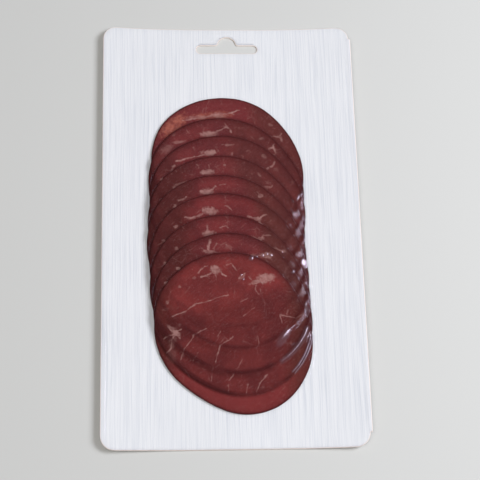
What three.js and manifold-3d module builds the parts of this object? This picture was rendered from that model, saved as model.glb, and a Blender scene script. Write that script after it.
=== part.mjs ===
// A flat skin pack of sliced smoked beef, lying on its back.
//
// Nine thin round slices lie shingled down the middle of a white board card. The slice nearest the
// hang hole lies lowest in the pile, and the last one lies on top. A clear film is drawn tight over
// the slices and the card, and is trimmed along the card's own outline.
//
// Units are millimetres. X runs across the card, Y runs up it towards the hang hole, and Z is up.
// The origin is under the middle of the card, on the surface that the pack lies on.

import * as THREE from 'three';
import { mergeVertices } from 'three/addons/utils/BufferGeometryUtils.js';
import Module from 'manifold-3d';

const wasm = await Module();
wasm.setup();

// Card
const cardWidth = 130;
const cardHeight = 225;
const cardThickness = 0.7;
const cornerRadius = 6;
const cornerNib = 0.9; // the right-hand corners are punched this far inside the edge
const flatHalfWidth = 14; // the strip down the middle that touches the surface
const curlRise = 3.6; // how far the pull of the film lifts the two long edges

// Hang hole: a long bar with a dome in the middle of its upper side
const holeCentreX = -0.3;
const holeBottomY = 98.5;
const holeBarWidth = 32;
const holeBarHeight = 4.5;
const domeRadius = 4.7;
const domeCentreY = 103.1;
const domeFilletRadius = 1.8;

// Slices, from the one nearest the hang hole to the one on top
const sliceRadius = 39;
const sliceThickness = 1.3;
const firstSliceTopY = 72.1;
const sliceStepsY = [12.3, 10.6, 11.8, 11.1, 10.5, 12.1, 10.2, 10.1];
const sliceCentresX = [-1.3, -2.8, -2.2, -3.2, -3.6, -2.4, -2.2, -0.7, -0.4];
// How far each right-hand edge is pressed out, and how narrow the bulge is
const marginBulges = [0, 1.5, 1.2, 1.5, 2.2, 1.8, 2.0, 0.9, 0];
const bulgeSharpness = 16;
const sliceOutlinePoints = 48;
// The roast isn't quite round: each wave has a count round the edge, a height and a direction in degrees
const roastWaves = [
  { count: 2, height: 2.2, direction: -52 },
  { count: 3, height: 0.4, direction: 60 },
  { count: 5, height: 0.2, direction: -5 },
];

// Film
const filmThickness = 0.35;
const filmSmoothing = 2; // rounds of pulling the film straight across the hollows of the pile

// How the layers settle on each other
const layerGap = 0.1; // between any two neighbouring layers
const sagLead = 0.4; // a slice runs level for this far past the edge of the slice below
const sagLength = 3; // and then comes down over this distance

// Grid that every layer is built on: columns at these distances from the middle of the pile and of the
// card, closer together where the slices end
const pileCentreX = -1.6;
const pileColumnsX = [6.5, 13, 19.5, 25.5, 31, 35.5, 40];
const marginColumnsX = [47, 56, 66];
const plainRowStep = 6.5;
const rowReach = 0.9; // the part of the slice radius over which a row follows a slice's lower edge

const halfTurn = Math.PI;
const toRadians = (degrees) => (degrees * halfTurn) / 180;

// The roast's outline, as a distance from its centre at a given angle
function roastRadius(angle) {
  let radius = sliceRadius;
  for (const wave of roastWaves) {
    radius += wave.height * Math.cos(wave.count * (angle - toRadians(wave.direction)));
  }
  return radius;
}

// The outline of one slice: the roast's, with its right-hand edge pressed out
function outlineRadius(slice, angle) {
  const towardsRight = (1 + Math.cos(angle)) / 2;
  return roastRadius(angle) + slice.bulge * towardsRight ** bulgeSharpness;
}

function makeSlices() {
  const slices = [];
  let topY = firstSliceTopY;
  sliceCentresX.forEach((centreX, index) => {
    const centreY = topY - roastRadius(halfTurn / 2);
    slices.push({ centreX, centreY, bulge: marginBulges[index] });
    topY -= sliceStepsY[index] ?? 0;
  });
  return slices;
}

const slices = makeSlices();
const layerPitch = sliceThickness + layerGap;

// How far a point lies outside a slice's edge, negative inside it
function distanceOutside(slice, x, y) {
  const alongX = x - slice.centreX;
  const alongY = y - slice.centreY;
  return Math.hypot(alongX, alongY) - outlineRadius(slice, Math.atan2(alongY, alongX));
}

// Height of the roast's lower edge above its lowest point, at a distance x from the centre
function lowerEdgeRise(x) {
  const reach = rowReach * sliceRadius;
  const target = THREE.MathUtils.clamp(x, -reach, reach);
  let left = halfTurn;
  let right = 2 * halfTurn;
  for (let step = 0; step < 30; step += 1) {
    const middle = (left + right) / 2;
    if (roastRadius(middle) * Math.cos(middle) < target) {
      left = middle;
    } else {
      right = middle;
    }
  }
  return roastRadius(left) * Math.sin(left) + roastRadius(1.5 * halfTurn);
}

// Underside of the card: level in the middle, and curling up to both long edges
function cardUnderside(x) {
  const past = Math.max(0, Math.abs(x) - flatHalfWidth);
  return curlRise * (past / (cardWidth / 2 - flatHalfWidth)) ** 2;
}

// The grid's columns are lines along Y. Its rows are copies of the curve of a slice's lower edge,
// two for each slice, with plain rows over the rest of the pile and one past each end of the card.
function makeGrid() {
  const pileColumns = pileColumnsX.flatMap((x) => [pileCentreX - x, pileCentreX + x]);
  const marginColumns = marginColumnsX.flatMap((x) => [-x, x]);
  const columns = [pileCentreX, ...pileColumns, ...marginColumns].sort((a, b) => a - b);
  const rows = [];
  for (const slice of slices) {
    const edgeY = slice.centreY - roastRadius(1.5 * halfTurn) - sagLead;
    rows.push({ y: edgeY, centreX: slice.centreX });
    rows.push({ y: edgeY - sagLength, centreX: slice.centreX });
  }
  const highest = rows[0];
  const pileEndY = firstSliceTopY + 2 * plainRowStep;
  for (let y = highest.y + plainRowStep; y < pileEndY; y += plainRowStep) {
    rows.unshift({ y, centreX: highest.centreX });
  }
  rows.unshift({ y: cardHeight / 2 + cornerRadius, centreX: highest.centreX });
  const lowest = rows[rows.length - 1];
  rows.push({ y: lowest.y - plainRowStep, centreX: lowest.centreX });
  rows.push({ y: -cardHeight / 2 - sliceRadius, centreX: lowest.centreX });

  const points = [];
  for (const row of rows) {
    for (const x of columns) {
      points.push({ x, y: row.y + lowerEdgeRise(x - row.centreX) });
    }
  }
  const triangles = [];
  for (let row = 0; row + 1 < rows.length; row += 1) {
    for (let column = 0; column + 1 < columns.length; column += 1) {
      const upper = row * columns.length + column;
      const lower = upper + columns.length;
      triangles.push([lower, lower + 1, upper + 1], [lower, upper + 1, upper]);
    }
  }
  return { columns, rows, points, triangles };
}

const grid = makeGrid();

// Tells whether any part of a grid triangle lies on a slice
function touches(slice, corners) {
  const samples = 6;
  const margin = 0.15;
  for (let side = 0; side < 3; side += 1) {
    const from = corners[side];
    const to = corners[(side + 1) % 3];
    for (let step = 0; step < samples; step += 1) {
      const share = step / samples;
      const x = from.x + (to.x - from.x) * share;
      const y = from.y + (to.y - from.y) * share;
      if (distanceOutside(slice, x, y) < margin) {
        return true;
      }
    }
  }
  return false;
}

// How much a slice lifts what lies on it, at each grid point: 1 on the slice, and down to 0 beyond it
function liftOf(slice) {
  const lift = grid.points.map(({ x, y }) => {
    const past = distanceOutside(slice, x, y) - sagLead;
    return 1 - THREE.MathUtils.smoothstep(past, 0, sagLength);
  });
  for (const triangle of grid.triangles) {
    if (touches(slice, triangle.map((index) => grid.points[index]))) {
      triangle.forEach((index) => {
        lift[index] = 1;
      });
    }
  }
  return lift;
}

// Pulls a layer straight across the hollows of the pile, as a tight film lies. Where it lies on the
// bare card it stays there.
function bridgeHollows(heights) {
  const width = grid.columns.length;
  for (let round = 0; round < filmSmoothing; round += 1) {
    const before = [...heights];
    for (let row = 1; row + 1 < grid.rows.length; row += 1) {
      for (let column = 1; column + 1 < width; column += 1) {
        const point = row * width + column;
        if (before[point] === 0) {
          continue;
        }
        const across = (before[point - 1] + before[point + 1]) / 2;
        const along = (before[point - width] + before[point + width]) / 2;
        heights[point] = Math.max(before[point], across, along);
      }
    }
  }
}

function toManifold(geometry) {
  const bare = geometry.clone();
  bare.deleteAttribute('normal');
  bare.deleteAttribute('uv');
  const merged = mergeVertices(bare, 1e-5);
  return new wasm.Manifold(new wasm.Mesh({
    numProp: 3,
    vertProperties: new Float32Array(merged.attributes.position.array),
    triVerts: new Uint32Array(merged.index.array),
  }));
}

function toGeometry(solid) {
  const mesh = solid.getMesh();
  const geometry = new THREE.BufferGeometry();
  geometry.setAttribute('position', new THREE.BufferAttribute(mesh.vertProperties, 3));
  geometry.setIndex(new THREE.BufferAttribute(mesh.triVerts, 1));
  geometry.computeVertexNormals();
  return geometry;
}

// A closed sheet of even thickness over the whole grid, with its underside at these heights over the card
function makeSheet(heights, thickness) {
  const positions = [];
  for (const top of [0, thickness]) {
    grid.points.forEach(({ x, y }, index) => {
      const boardTop = cardUnderside(x) + cardThickness + layerGap;
      positions.push(x, y, boardTop + heights[index] + top);
    });
  }
  const upperSide = grid.points.length;
  const index = [];
  for (const [a, b, c] of grid.triangles) {
    index.push(a, c, b);
    index.push(a + upperSide, b + upperSide, c + upperSide);
  }
  const lastRow = (grid.rows.length - 1) * grid.columns.length;
  const lastColumn = grid.columns.length - 1;
  const wall = (from, to) => {
    index.push(from, to, to + upperSide, from, to + upperSide, from + upperSide);
  };
  for (let column = 0; column < lastColumn; column += 1) {
    wall(column + 1, column);
    wall(lastRow + column, lastRow + column + 1);
  }
  for (let start = 0; start < lastRow; start += grid.columns.length) {
    const next = start + grid.columns.length;
    wall(start, next);
    wall(next + lastColumn, start + lastColumn);
  }
  const geometry = new THREE.BufferGeometry();
  geometry.setAttribute('position', new THREE.Float32BufferAttribute(positions, 3));
  geometry.setIndex(index);
  return geometry;
}

// An upright prism tall enough to cut any layer to the outline of a shape
function cutter(shape) {
  const depth = 60;
  const geometry = new THREE.ExtrudeGeometry(shape, { depth, bevelEnabled: false, curveSegments: 8 });
  geometry.translate(0, 0, -depth / 2);
  return toManifold(geometry);
}

function sliceShape(slice) {
  const outline = [];
  for (let point = 0; point < sliceOutlinePoints; point += 1) {
    const angle = (2 * halfTurn * point) / sliceOutlinePoints;
    const radius = outlineRadius(slice, angle);
    outline.push(new THREE.Vector2(
      slice.centreX + radius * Math.cos(angle),
      slice.centreY + radius * Math.sin(angle),
    ));
  }
  return new THREE.Shape(outline);
}

function hangHole() {
  const endRadius = holeBarHeight / 2;
  const middleY = holeBottomY + endRadius;
  const barTopY = holeBottomY + holeBarHeight;
  const endX = holeBarWidth / 2 - endRadius;
  const filletY = barTopY + domeFilletRadius;
  const filletX = Math.sqrt((domeRadius + domeFilletRadius) ** 2 - (filletY - domeCentreY) ** 2);
  const towardsDome = Math.atan2(domeCentreY - filletY, -filletX);
  const towardsFillet = towardsDome + halfTurn;
  const quarter = halfTurn / 2;

  const path = new THREE.Path();
  path.moveTo(holeCentreX - endX, holeBottomY);
  path.lineTo(holeCentreX + endX, holeBottomY);
  path.absarc(holeCentreX + endX, middleY, endRadius, -quarter, quarter, false);
  path.absarc(holeCentreX + filletX, filletY, domeFilletRadius, -quarter, towardsDome, true);
  path.absarc(holeCentreX, domeCentreY, domeRadius, towardsFillet, halfTurn - towardsFillet, false);
  path.absarc(holeCentreX - filletX, filletY, domeFilletRadius, halfTurn - towardsDome, -quarter, true);
  path.absarc(holeCentreX - endX, middleY, endRadius, quarter, 3 * quarter, false);
  return path;
}

// Outline of the card and the film, with the small step at both right-hand corners
function packShape() {
  const edgeX = cardWidth / 2;
  const edgeY = cardHeight / 2;
  const arcX = edgeX - cornerRadius;
  const nibArcX = arcX - cornerNib;
  const arcY = edgeY - cornerRadius;
  const quarter = halfTurn / 2;

  const shape = new THREE.Shape();
  shape.moveTo(edgeX, -arcY);
  shape.lineTo(edgeX, arcY);
  shape.absarc(nibArcX, arcY, cornerRadius, 0, quarter, false);
  shape.absarc(-arcX, arcY, cornerRadius, quarter, 2 * quarter, false);
  shape.absarc(-arcX, -arcY, cornerRadius, 2 * quarter, 3 * quarter, false);
  shape.absarc(nibArcX, -arcY, cornerRadius, 3 * quarter, 4 * quarter, false);
  shape.holes.push(hangHole());
  return shape;
}

// The board with its curl: a curled strip run along Y
function curledBoard() {
  const lower = grid.columns.map((x) => new THREE.Vector2(x, cardUnderside(x)));
  const upper = grid.columns.map((x) => new THREE.Vector2(x, cardUnderside(x) + cardThickness));
  const section = new THREE.Shape([...lower, ...upper.reverse()]);
  const depth = cardHeight + 2 * cornerRadius;
  const geometry = new THREE.ExtrudeGeometry(section, { depth, bevelEnabled: false });
  geometry.rotateX(halfTurn / 2);
  geometry.translate(0, depth / 2, 0);
  return toManifold(geometry);
}

const cardBoard = new THREE.MeshStandardMaterial({ color: 0xe4e8ec, roughness: 0.5, metalness: 0 });
const smokedBeef = new THREE.MeshStandardMaterial({ color: 0x6e2d2c, roughness: 0.45, metalness: 0 });
const clearFilm = new THREE.MeshStandardMaterial({
  color: 0xf2f4f6,
  roughness: 0.1,
  metalness: 0,
  transparent: true,
  opacity: 0.2,
});

function addPiece(group, name, solid, material) {
  const mesh = new THREE.Mesh(toGeometry(solid), material);
  mesh.name = name;
  group.add(mesh);
}

const group = new THREE.Group();
const packCutter = cutter(packShape());
addPiece(group, 'card', curledBoard().intersect(packCutter), cardBoard);

// Each slice lies on what the ones below it have piled up
const pileHeights = grid.points.map(() => 0);
slices.forEach((slice, index) => {
  const sheet = toManifold(makeSheet(pileHeights, sliceThickness));
  addPiece(group, `slice_${index + 1}`, sheet.intersect(cutter(sliceShape(slice))), smokedBeef);
  liftOf(slice).forEach((lift, point) => {
    pileHeights[point] += lift * layerPitch;
  });
});

bridgeHollows(pileHeights);
const filmSheet = toManifold(makeSheet(pileHeights, filmThickness));
addPiece(group, 'film', filmSheet.intersect(packCutter), clearFilm);

export default group;
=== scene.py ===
"""Looks of a flat skin pack: smoked beef slices shingled on a white card under a tight clear film.

Lengths are metres, as in Blender, unless a name or comment says millimetres. The card lies on its
back: X runs across it, Y runs up it towards the hang hole, and Z is up.
"""

import math
from functools import reduce

import bpy
import numpy as np
from bpy.props import FloatProperty, FloatVectorProperty, IntProperty, PointerProperty
from bpy.types import Operator, Panel, PropertyGroup
from mathutils import Matrix, Vector
from mathutils.geometry import delaunay_2d_cdt


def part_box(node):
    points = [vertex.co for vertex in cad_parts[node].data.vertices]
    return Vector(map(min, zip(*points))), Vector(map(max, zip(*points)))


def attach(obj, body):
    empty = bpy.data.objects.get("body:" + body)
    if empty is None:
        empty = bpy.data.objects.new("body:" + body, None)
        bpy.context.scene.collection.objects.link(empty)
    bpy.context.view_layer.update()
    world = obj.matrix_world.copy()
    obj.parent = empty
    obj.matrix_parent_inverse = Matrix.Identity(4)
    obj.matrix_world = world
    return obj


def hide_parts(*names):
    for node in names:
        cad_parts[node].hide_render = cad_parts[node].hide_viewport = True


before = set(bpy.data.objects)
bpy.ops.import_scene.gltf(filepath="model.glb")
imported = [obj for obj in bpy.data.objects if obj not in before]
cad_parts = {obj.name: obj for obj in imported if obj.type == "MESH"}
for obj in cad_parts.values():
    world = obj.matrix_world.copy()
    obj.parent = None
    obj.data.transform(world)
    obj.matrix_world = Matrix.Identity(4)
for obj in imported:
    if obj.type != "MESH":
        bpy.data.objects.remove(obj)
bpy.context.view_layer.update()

bl_info = {
    "name": "Sliced beef skin pack",
    "version": (1, 0, 0),
    "blender": (4, 5, 0),
    "location": "View3D > Sidebar > Beef Pack",
    "description": "Makes the card, the shingled beef slices and the clear film of a flat skin pack",
    "category": "Object",
}

MM = 0.001
SLICE_NODES = sorted(
    (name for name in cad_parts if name.startswith("slice_")),
    key=lambda name: int(name.split("_")[1]),
)
CARD_LOW, CARD_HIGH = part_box("card")

# The roast isn't quite round: count round its edge, height in mm, direction in degrees
ROAST_WAVES = ((2, 2.2, -52), (3, 0.4, 60), (5, 0.2, -5))
# How far the right-hand edge of each slice is pressed out in mm, and how narrow that bulge is
MARGIN_BULGES = (0, 1.5, 1.2, 1.5, 2.2, 1.8, 2.0, 0.9, 0)
BULGE_SHARPNESS = 16
# How far the lower left of each slice is pressed in, in mm, towards which angle in degrees, and how
# narrow that dent is
MARGIN_DENTS = (0, 0, 0, 0, 0, 0, 0, 0, 1.6)
DENT_DIRECTION = 238
DENT_SHARPNESS = 8

# Fat marks of each slice, in mm from a point near its middle that is given in mm on the card. A patch
# is x, y, half length, half width, turn in degrees and strength. A strand is its width, its strength
# and the points that it runs through. From the third slice on, all have the common patches too.
MARK_ORIGINS = (
    (-2.2, 31.6), (-2.2, 19.5), (-1.8, 8.5), (-1.6, -3.0), (-1.4, -14.0),
    (-1.0, -24.9), (-0.6, -36.5), (-0.1, -46.8), (0.3, -56.7),
)
FIRST_WITH_COMMON = 3
COMMON_PATCHES = (
    (-27.2, 23.3, 0.95, 0.75, 30, 0.6),
    (-33.0, 16.2, 0.95, 0.75, 0, 0.6),
)
PATCHES = {
    1: (
        (-3.6, 30.4, 3.6, 1.4, 2, 0.7), (-13.0, 29.4, 7.5, 0.9, 5, 0.5),
        (23.5, 25.0, 1.3, 0.7, -20, 0.45), (29.0, 17.0, 0.7, 2.0, 10, 0.3),
        (-30.0, 13.5, 3.0, 1.6, 40, 0.25),
    ),
    2: (
        (-8.7, 31.2, 4.0, 1.5, 3, 0.8), (-23.6, 26.8, 3.4, 0.8, 12, 0.5),
        (-30.0, 22.8, 3.6, 2.4, 35, 0.32), (-26.5, 31.0, 0.9, 1.4, 0, 0.25), (18.5, 28.5, 1.4, 0.7, 0, 0.3),
    ),
    3: (
        (-8.8, 31.1, 3.7, 1.6, 0, 0.85), (-31.0, 14.6, 2.4, 0.7, 0, 0.5), (0.6, 35.4, 1.3, 0.7, 10, 0.4),
        (3.0, 30.5, 0.6, 1.0, 0, 0.35), (19.0, 29.0, 1.5, 0.9, -30, 0.35), (25.0, 21.5, 1.4, 1.2, 0, 0.2),
    ),
    4: (
        (-10.3, 31.2, 3.3, 1.5, 0, 0.85), (-24.0, 24.8, 3.0, 0.7, 22, 0.4), (-1.4, 35.3, 0.8, 0.7, 0, 0.4),
        (20.0, 23.3, 1.5, 0.6, 5, 0.5), (16.3, 30.0, 0.6, 1.6, 25, 0.3),
    ),
    5: (
        (-11.2, 31.1, 3.1, 1.6, 5, 0.85), (-23.6, 27.0, 1.8, 0.7, 20, 0.35), (16.0, 28.4, 1.2, 1.1, 0, 0.5),
    ),
    6: (
        (-10.1, 31.2, 3.6, 2.0, -6, 0.85), (13.5, 26.9, 1.8, 0.9, -20, 0.6), (-19.8, 27.2, 1.5, 0.7, 0, 0.5),
    ),
    7: ((-11.6, 30.3, 3.1, 1.6, 3, 0.85), (13.4, 27.3, 2.2, 0.9, 5, 0.6), (26.0, 21.4, 1.2, 0.8, 0, 0.5)),
    8: (
        (-11.6, 30.9, 3.0, 0.9, -3, 0.6), (8.7, 27.6, 2.6, 1.3, 45, 0.7), (16.6, 28.8, 3.1, 1.4, 0, 0.6),
        (-2.2, 33.0, 1.8, 1.0, 0, 0.25),
    ),
    9: (
        (-9.4, 31.3, 2.5, 2.1, -10, 0.85), (15.2, 26.8, 4.2, 2.1, 4, 0.8), (10.4, 25.2, 3.4, 1.0, 18, 0.75),
        (3.6, 27.8, 1.5, 0.9, 20, 0.4), (-20.0, 27.5, 0.9, 0.7, 0, 0.5),
        (-28.8, 0.8, 2.4, 1.3, -40, 0.8), (-31.0, 3.4, 2.2, 1.0, -40, 0.5),
        (-30.5, -4.0, 1.6, 3.0, -20, 0.3), (-27.0, 4.9, 0.9, 0.8, 0, 0.4),
        (-33.4, 12.8, 2.2, 0.8, 20, 0.25), (-31.0, -10.0, 2.4, 3.6, 0, 0.16),
    ),
}
STRANDS = {
    1: (
        (0.5, 0.7, (-21.6, 27.6), (-12.0, 28.9), (-4.0, 31.0), (0.4, 31.2), (7.6, 33.2)),
        (0.35, 0.4, (3.0, 31.8), (5.0, 30.6)),
        (0.5, 0.55, (25.0, 18.5), (27.5, 18.5), (29.0, 20.0)),
        (0.5, 0.45, (27.5, 18.5), (29.0, 17.0), (29.0, 15.5)),
    ),
    2: (
        (0.5, 0.55, (-6.0, 31.6), (-2.0, 33.4), (0.6, 35.2), (3.2, 32.4)),
        (0.35, 0.35, (0.6, 35.2), (0.2, 37.4)),
        (0.35, 0.3, (-20.0, 33.2), (-18.6, 31.4)),
        (0.5, 0.6, (25.0, 25.0), (24.5, 23.5), (22.5, 22.8)),
        (0.5, 0.55, (24.5, 23.5), (26.0, 20.5), (25.0, 19.5)),
    ),
    3: (
        (0.45, 0.6, (-26.0, 26.3), (-21.0, 27.4), (-16.0, 28.8), (-11.0, 30.2)),
        (0.35, 0.35, (-2.0, 35.6), (0.6, 34.8), (3.4, 35.8)),
        (0.35, 0.25, (-16.6, 34.5), (-15.8, 32.0)),
        (0.5, 0.5, (24.5, 26.0), (23.5, 24.0), (22.5, 23.5)),
        (0.45, 0.45, (21.3, 23.2), (20.3, 22.4)),
        (0.5, 0.4, (-27.4, 22.8), (-28.6, 20.4)),
    ),
    4: (
        (0.35, 0.4, (-15.3, 35.8), (-14.8, 33.4)),
        (0.35, 0.3, (-9.5, 35.4), (-9.3, 33.6)),
        (0.35, 0.5, (18.0, 23.0), (21.5, 23.3), (22.6, 24.6)),
        (0.35, 0.4, (21.5, 23.3), (19.6, 22.2)),
        (0.4, 0.35, (-27.5, 24.0), (-22.0, 25.6)),
    ),
    5: (
        (0.5, 0.6, (-9.0, 31.6), (-6.4, 34.0)),
        (0.3, 0.5, (-4.6, 35.0), (-1.8, 35.1)),
        (0.35, 0.35, (16.0, 28.4), (14.4, 30.6)),
        (0.4, 0.4, (-25.0, 26.2), (-21.0, 28.4)),
    ),
    6: (
        (0.6, 0.65, (-22.4, 28.0), (-20.0, 27.0), (-15.5, 28.4), (-11.5, 30.4)),
        (0.35, 0.4, (-2.2, 34.2), (-0.4, 33.6), (1.0, 31.2)),
        (0.55, 0.6, (8.8, 28.2), (13.0, 26.6), (15.8, 28.2), (17.8, 28.8)),
        (0.5, 0.55, (13.6, 27.8), (13.4, 26.6), (15.6, 24.4)),
    ),
    7: (
        (0.5, 0.5, (-12.2, 34.2), (-11.9, 31.0)),
        (0.35, 0.4, (-5.6, 33.2), (-2.6, 34.6), (-1.6, 33.2)),
        (0.45, 0.5, (10.6, 28.2), (14.5, 26.8), (15.6, 29.2), (19.0, 29.2)),
        (0.3, 0.4, (21.0, 22.6), (26.0, 21.3)),
    ),
    8: (
        (0.6, 0.6, (-11.3, 36.6), (-12.0, 33.8), (-11.9, 30.6)),
        (0.5, 0.5, (-15.4, 32.6), (-13.4, 30.6), (-8.2, 30.6)),
        (0.35, 0.35, (-8.0, 35.2), (-9.6, 32.6), (-9.0, 30.8)),
        (0.4, 0.35, (-3.4, 34.2), (-1.0, 32.0)),
        (0.35, 0.5, (10.4, 28.8), (14.0, 28.7)),
        (0.4, 0.3, (25.4, 31.0), (24.0, 30.0)),
    ),
    9: (
        (0.45, 0.6, (-9.4, 31.4), (-7.2, 31.0), (-4.3, 27.9)),
        (0.45, 0.55, (-9.4, 31.2), (-13.5, 28.5), (-16.4, 28.3)),
        (0.4, 0.5, (-13.3, 33.4), (-16.6, 31.8), (-18.0, 30.0)),
        (0.35, 0.35, (-9.2, 29.8), (-8.8, 26.2)),
        (0.3, 0.3, (-13.4, 28.4), (-12.2, 26.8)),
        (0.4, 0.5, (-4.0, 33.3), (-1.5, 34.0), (1.6, 30.8)),
        (0.4, 0.55, (2.4, 27.2), (4.8, 29.4), (4.2, 27.6)),
        (0.35, 0.45, (7.0, 27.8), (8.4, 26.2)),
        (0.35, 0.35, (10.5, 23.5), (10.4, 20.6), (12.0, 18.6), (13.6, 19.8)),
        (0.35, 0.55, (-30.7, 8.9), (-24.2, 11.4), (-19.5, 14.7), (-10.6, 16.6), (-3.5, 18.6)),
        (0.32, 0.5, (-14.0, 2.7), (-20.2, -0.5), (-23.8, -5.3), (-26.8, -12.2)),
        (0.35, 0.55, (-1.5, -1.7), (-7.4, -5.9), (-8.6, -9.7), (-9.9, -13.6)),
        (0.28, 0.35, (-7.0, 1.4), (-8.8, -1.6)),
        (0.3, 0.35, (10.6, -1.2), (11.1, -4.8), (9.7, -7.5)),
        (0.3, 0.45, (3.3, -12.9), (0.0, -17.1)),
        (0.3, 0.4, (-1.4, -19.1), (-3.3, -22.7)),
        (0.4, 0.6, (14.9, -19.6), (11.6, -24.0), (9.4, -28.2)),
        (0.32, 0.5, (5.4, -24.6), (5.0, -28.7)),
        (0.32, 0.45, (-3.9, -24.5), (-4.0, -28.0)),
        (0.25, 0.3, (-11.0, -16.0), (-11.8, -23.2)),
        (0.25, 0.3, (-18.3, -9.0), (-20.9, -12.8)),
        (0.3, 0.4, (-24.8, -16.6), (-22.8, -20.3)),
        (0.28, 0.35, (9.2, 12.6), (6.4, 10.1), (3.6, 8.2)),
        (0.28, 0.3, (3.0, 15.3), (6.0, 17.1)),
        (0.28, 0.3, (12.6, 22.0), (13.1, 18.9), (14.8, 14.7), (14.2, 10.7)),
        (0.32, 0.5, (29.0, 8.2), (22.2, 9.1), (22.7, 5.7)),
        (0.28, 0.4, (26.2, 11.5), (25.0, 9.2)),
        (0.28, 0.35, (33.9, 9.9), (30.2, 8.4)),
        (0.45, 0.7, (-34.6, -2.0), (-29.5, 0.4), (-27.0, -1.6)),
        (0.4, 0.65, (-32.0, 3.4), (-29.4, 0.8), (-26.4, 2.6)),
        (0.4, 0.6, (-29.5, 0.2), (-31.6, -6.6), (-33.2, -8.4)),
    ),
}

# Puckers of the film beside the pile: x and y in mm on the card, half length, half width, turn in
# degrees and height in mm
FILM_PUCKERS = (
    (36.6, 22.6, 1.6, 0.6, 80, 0.3), (35.0, 16.2, 1.5, 0.7, 40, 0.35), (33.4, 14.4, 1.8, 0.6, 70, 0.4),
    (30.8, 12.2, 0.9, 0.5, 110, 0.2), (30.4, 6.6, 2.2, 0.5, 115, 0.35), (36.5, 3.8, 1.9, 0.8, 85, 0.35),
    (34.0, -1.0, 0.8, 0.4, 100, 0.25), (36.5, -6.6, 2.2, 0.7, 85, 0.35), (32.0, -3.5, 1.0, 0.4, 120, 0.2),
    (36.0, -20.8, 2.2, 1.4, 70, 0.4), (34.2, -19.0, 1.6, 0.8, 60, 0.25), (29.3, -25.9, 1.0, 0.6, 60, 0.25),
    (23.5, -58.8, 5.0, 1.9, 54, 0.8), (28.2, -62.0, 1.2, 0.5, 40, 0.25), (36.8, -59.6, 1.7, 1.3, 80, 0.45),
    (8.6, -19.8, 1.4, 1.0, 65, 0.42), (11.4, -18.4, 1.3, 0.9, 62, 0.38), (14.3, -17.8, 1.0, 0.7, 65, 0.3),
    (16.5, -17.2, 0.9, 0.7, 70, 0.3), (18.4, -17.9, 0.8, 0.7, 60, 0.3),
    (4.5, -30.2, 0.8, 0.5, 60, 0.3), (3.4, -28.1, 0.6, 0.5, 30, 0.3),
    (37.2, -37.7, 3.0, 0.5, 100, 0.3), (36.0, -44.0, 3.2, 0.5, 105, 0.3),
)

# The cure's stain on the first slice: patches as above, each with how ragged its edge is
CURE_STAINS = (((-26.5, 24.6, 8.4, 3.6, 45, 1.0), 0.8), ((-7.0, 30.2, 11.0, 2.4, 4, 0.6), 0.5))

# How red each slice is beside the others
REDNESS = (0.92, 0.96, 0.95, 0.96, 1.0, 1.06, 1.02, 1.0, 1.0)
# Red, green and blue of the darkest and the palest lean meat beside its main colour
LEAN_TONES = ((0.88, 0.9, 0.9), (1.22, 1.16, 1.1))
# What the top slice's colour is multiplied by on its upper and on its lower part, in red, green and blue
TOP_SLICE_TONES = ((1.16, 1.06, 0.98), (0.83, 0.8, 0.75))

# Where each slice begins to darken towards its left and its right flank, in mm from its middle, and
# how much of the flank's colour it takes on there. The darkening is partly the smoked rims that crowd
# there and partly painted shade.
FLANKS = (
    ((30, 0.5), (9, 0.5)), ((26, 0.5), (-4, 0.34)), ((21, 0.5), (-4, 0.34)), ((15, 0.65), (-2, 0.38)),
    ((14, 0.7), (4, 0.5)), ((14, 0.7), (8, 0.6)), ((14, 0.7), (9, 0.65)), ((14, 0.7), (9, 0.65)),
    ((25, 0.68), (21, 0.55)),
)
FLANK_WIDTH = 11

# Wrinkles of the film: start, middle and end in mm on the card, height and half width in mm
FILM_WRINKLES = (
    ((22.6, -70.4), (32.2, -63.6), (35.4, -54.1), 0.85, 1.3),
    ((27.4, -75.4), (34.9, -67.7), (37.0, -56.8), 0.3, 0.42),
    ((28.7, -76.1), (36.1, -68.3), (38.2, -57.4), 0.3, 0.42),
)

# How far past a rim the slice on it starts to come down, and how wide that rim, with painted shade at its
# step, shows through it
STEP_START = 0.25 * MM
RIM_WIDTH = 1.1 * MM
# Layers that hide a rim
HIDING_LAYERS = 4.5
# The painted shadow under a rim above: where it is full and where it ends, from that rim outwards
CONTACT_SPAN = (-0.5 * MM, 2.6 * MM)
# Spacing of the points of the card and of the film away from the pile
COARSE_STEP = 3 * MM

SLICE_INPUTS = (
    "Order", "Centre X", "Centre Y", "Bulge", "Dent", "Marks X", "Marks Y", "Card top", "Material",
)
# Kinds of the node groups' sockets that aren't numbers
SOCKET_KINDS = {"Geometry": "NodeSocketGeometry", "Material": "NodeSocketMaterial"}


def operator_node(operation, swapped=False):
    """A method for one of Python's operators, which adds the node for it."""
    def method(self, other):
        values = (other, self) if swapped else (self, other)
        return self.sheet.maths(operation, *values)
    return method


class Wire:
    """An output socket of a node tree. Python's operators on it add Math or Vector Math nodes."""

    __add__ = operator_node("ADD")
    __radd__ = operator_node("ADD", swapped=True)
    __sub__ = operator_node("SUBTRACT")
    __rsub__ = operator_node("SUBTRACT", swapped=True)
    __mul__ = operator_node("MULTIPLY")
    __rmul__ = operator_node("MULTIPLY", swapped=True)
    __truediv__ = operator_node("DIVIDE")
    __pow__ = operator_node("POWER")

    def __init__(self, sheet, socket):
        self.sheet = sheet
        self.socket = socket

    def __neg__(self):
        return self * -1

    def beside(self, output):
        """Another output of the same node."""
        return Wire(self.sheet, self.socket.node.outputs[output])


def rgba(colour):
    """A colour as a node's socket takes it. A wire stays as it is."""
    return colour if isinstance(colour, Wire) else (*colour, 1.0)


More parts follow.
